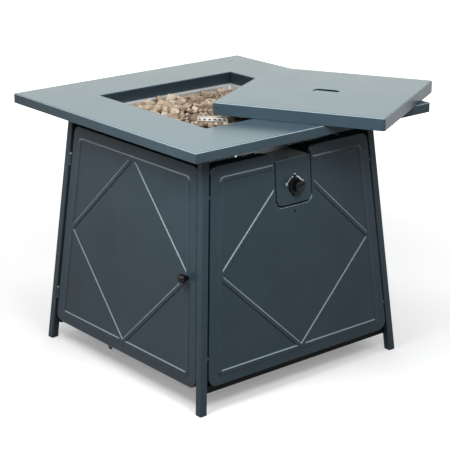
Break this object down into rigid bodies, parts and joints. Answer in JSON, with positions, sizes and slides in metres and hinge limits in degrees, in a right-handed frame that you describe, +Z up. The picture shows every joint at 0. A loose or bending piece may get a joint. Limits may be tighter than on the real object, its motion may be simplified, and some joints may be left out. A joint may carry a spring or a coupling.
{
  "type": "fire pit table",
  "caption": "Square gas fire pit table: folded sheet-steel top with a stone-filled burner recess, splayed tube legs, embossed panels, side door, control box and lift-out lid.",
  "frame": {"origin": "middle of the four feet, on the floor", "axes": "+Z up; -Y is the side with the control knob; -X is the side with the door"},
  "size_m": [0.7909, 0.8329, 0.6643],
  "materials": {
    "slate_paint": "satin powder coat",
    "black_paint": "satin powder coat",
    "zinc_steel": "zinc plated",
    "stainless": "brushed stainless",
    "aluminium_tube": "drawn tube",
    "cast_aluminium": "die cast",
    "brass_metal": "turned",
    "gloss_black": "gloss",
    "black_plastic": "matte",
    "white_ceramic": "glazed",
    "lava_stone": "rough, porous"
  },
  "bodies": {
    "frame": {"back_panel": "slate_paint", "base_rail_back": "black_paint", "base_rail_front": "black_paint", "base_rail_left": "black_paint", "base_rail_right": "black_paint", "bottle_cradle": "black_paint", "bottle_strap_left": "black_paint", "bottle_strap_right": "black_paint", "burner_pan": "stainless", "burner_ring": "stainless", "control_box": "slate_paint", "control_screws": "black_paint", "corner_plates": "black_paint", "foot_plugs": "black_plastic", "frame_nuts": "zinc_steel", "frame_studs": "zinc_steel", "front_panel": "slate_paint", "gas_orifice": "brass_metal", "gas_pipe": "aluminium_tube", "hinge_brackets": "slate_paint", "hinge_pins": "zinc_steel", "hose_hook": "black_paint", "lava_rocks": "lava_stone", "leg_back_left": "slate_paint", "leg_back_right": "slate_paint", "leg_front_left": "slate_paint", "leg_front_right": "slate_paint", "magnet_catch": "black_plastic", "pan_clips": "zinc_steel", "pan_screws": "zinc_steel", "panel_screws": "zinc_steel", "panel_spacers": "black_plastic", "pilot_guard": "stainless", "right_panel": "slate_paint", "spark_electrode": "white_ceramic", "strap_screws": "zinc_steel", "table_top": "slate_paint", "thermocouple": "stainless", "top_channel_back": "black_paint", "top_channel_front": "black_paint", "top_channel_left": "black_paint", "top_channel_right": "black_paint", "top_rail_back": "slate_paint", "top_rail_front": "slate_paint", "top_rail_left": "slate_paint", "top_rail_right": "slate_paint", "valve_body": "cast_aluminium", "valve_bracket": "zinc_steel", "valve_inlet": "brass_metal"},
    "door": {"door_panel": "slate_paint", "door_knuckles": "slate_paint", "door_knob": "gloss_black", "door_knob_screw": "zinc_steel", "strike_plate": "zinc_steel"},
    "valve_spindle": {"valve_spindle": "brass_metal"},
    "control_knob": {"control_knob": "gloss_black"},
    "lid": {"lid_cover": "slate_paint", "lid_handle": "slate_paint"},
    "clamp_pad": {"clamp_pad": "zinc_steel"},
    "clamp_bolt": {"clamp_bolt": "zinc_steel"}
  },
  "joints": [
    {"name": "door_hinge", "type": "hinge", "parent": "frame", "child": "door", "pos_m": [-0.29872, 0.27821, 0.12778], "axis": [-0.0876, 0.0876, -0.9923], "range_deg": [0, 105]},
    {"name": "knob_turn", "type": "hinge", "parent": "frame", "child": "valve_spindle", "pos_m": [0, -0.27027, 0.47864], "axis": [0, -0.9961, 0.0879], "range_deg": [0, 155]},
    {"name": "knob_push", "type": "slide", "parent": "valve_spindle", "child": "control_knob", "axis": [0, 0.9961, -0.0879], "range_m": [0, 0.003], "stiffness_N_per_m": 900},
    {"name": "lid_lift", "type": "slide", "parent": "frame", "child": "lid", "axis": [0, 0, 1], "range_m": [0, 0.12]},
    {"name": "clamp_slide", "type": "slide", "parent": "frame", "child": "clamp_pad", "axis": [1, 0, 0], "range_m": [0, 0.008]},
    {"name": "clamp_turn", "type": "hinge", "parent": "clamp_pad", "child": "clamp_bolt", "pos_m": [-0.11, 0, 0.04], "axis": [1, 0, 0], "range_deg": [0, 2304]}
  ],
  "couplings": [
    {"joint": "clamp_turn", "follows": "clamp_slide", "rad_per_m": 5026.5}
  ]
}
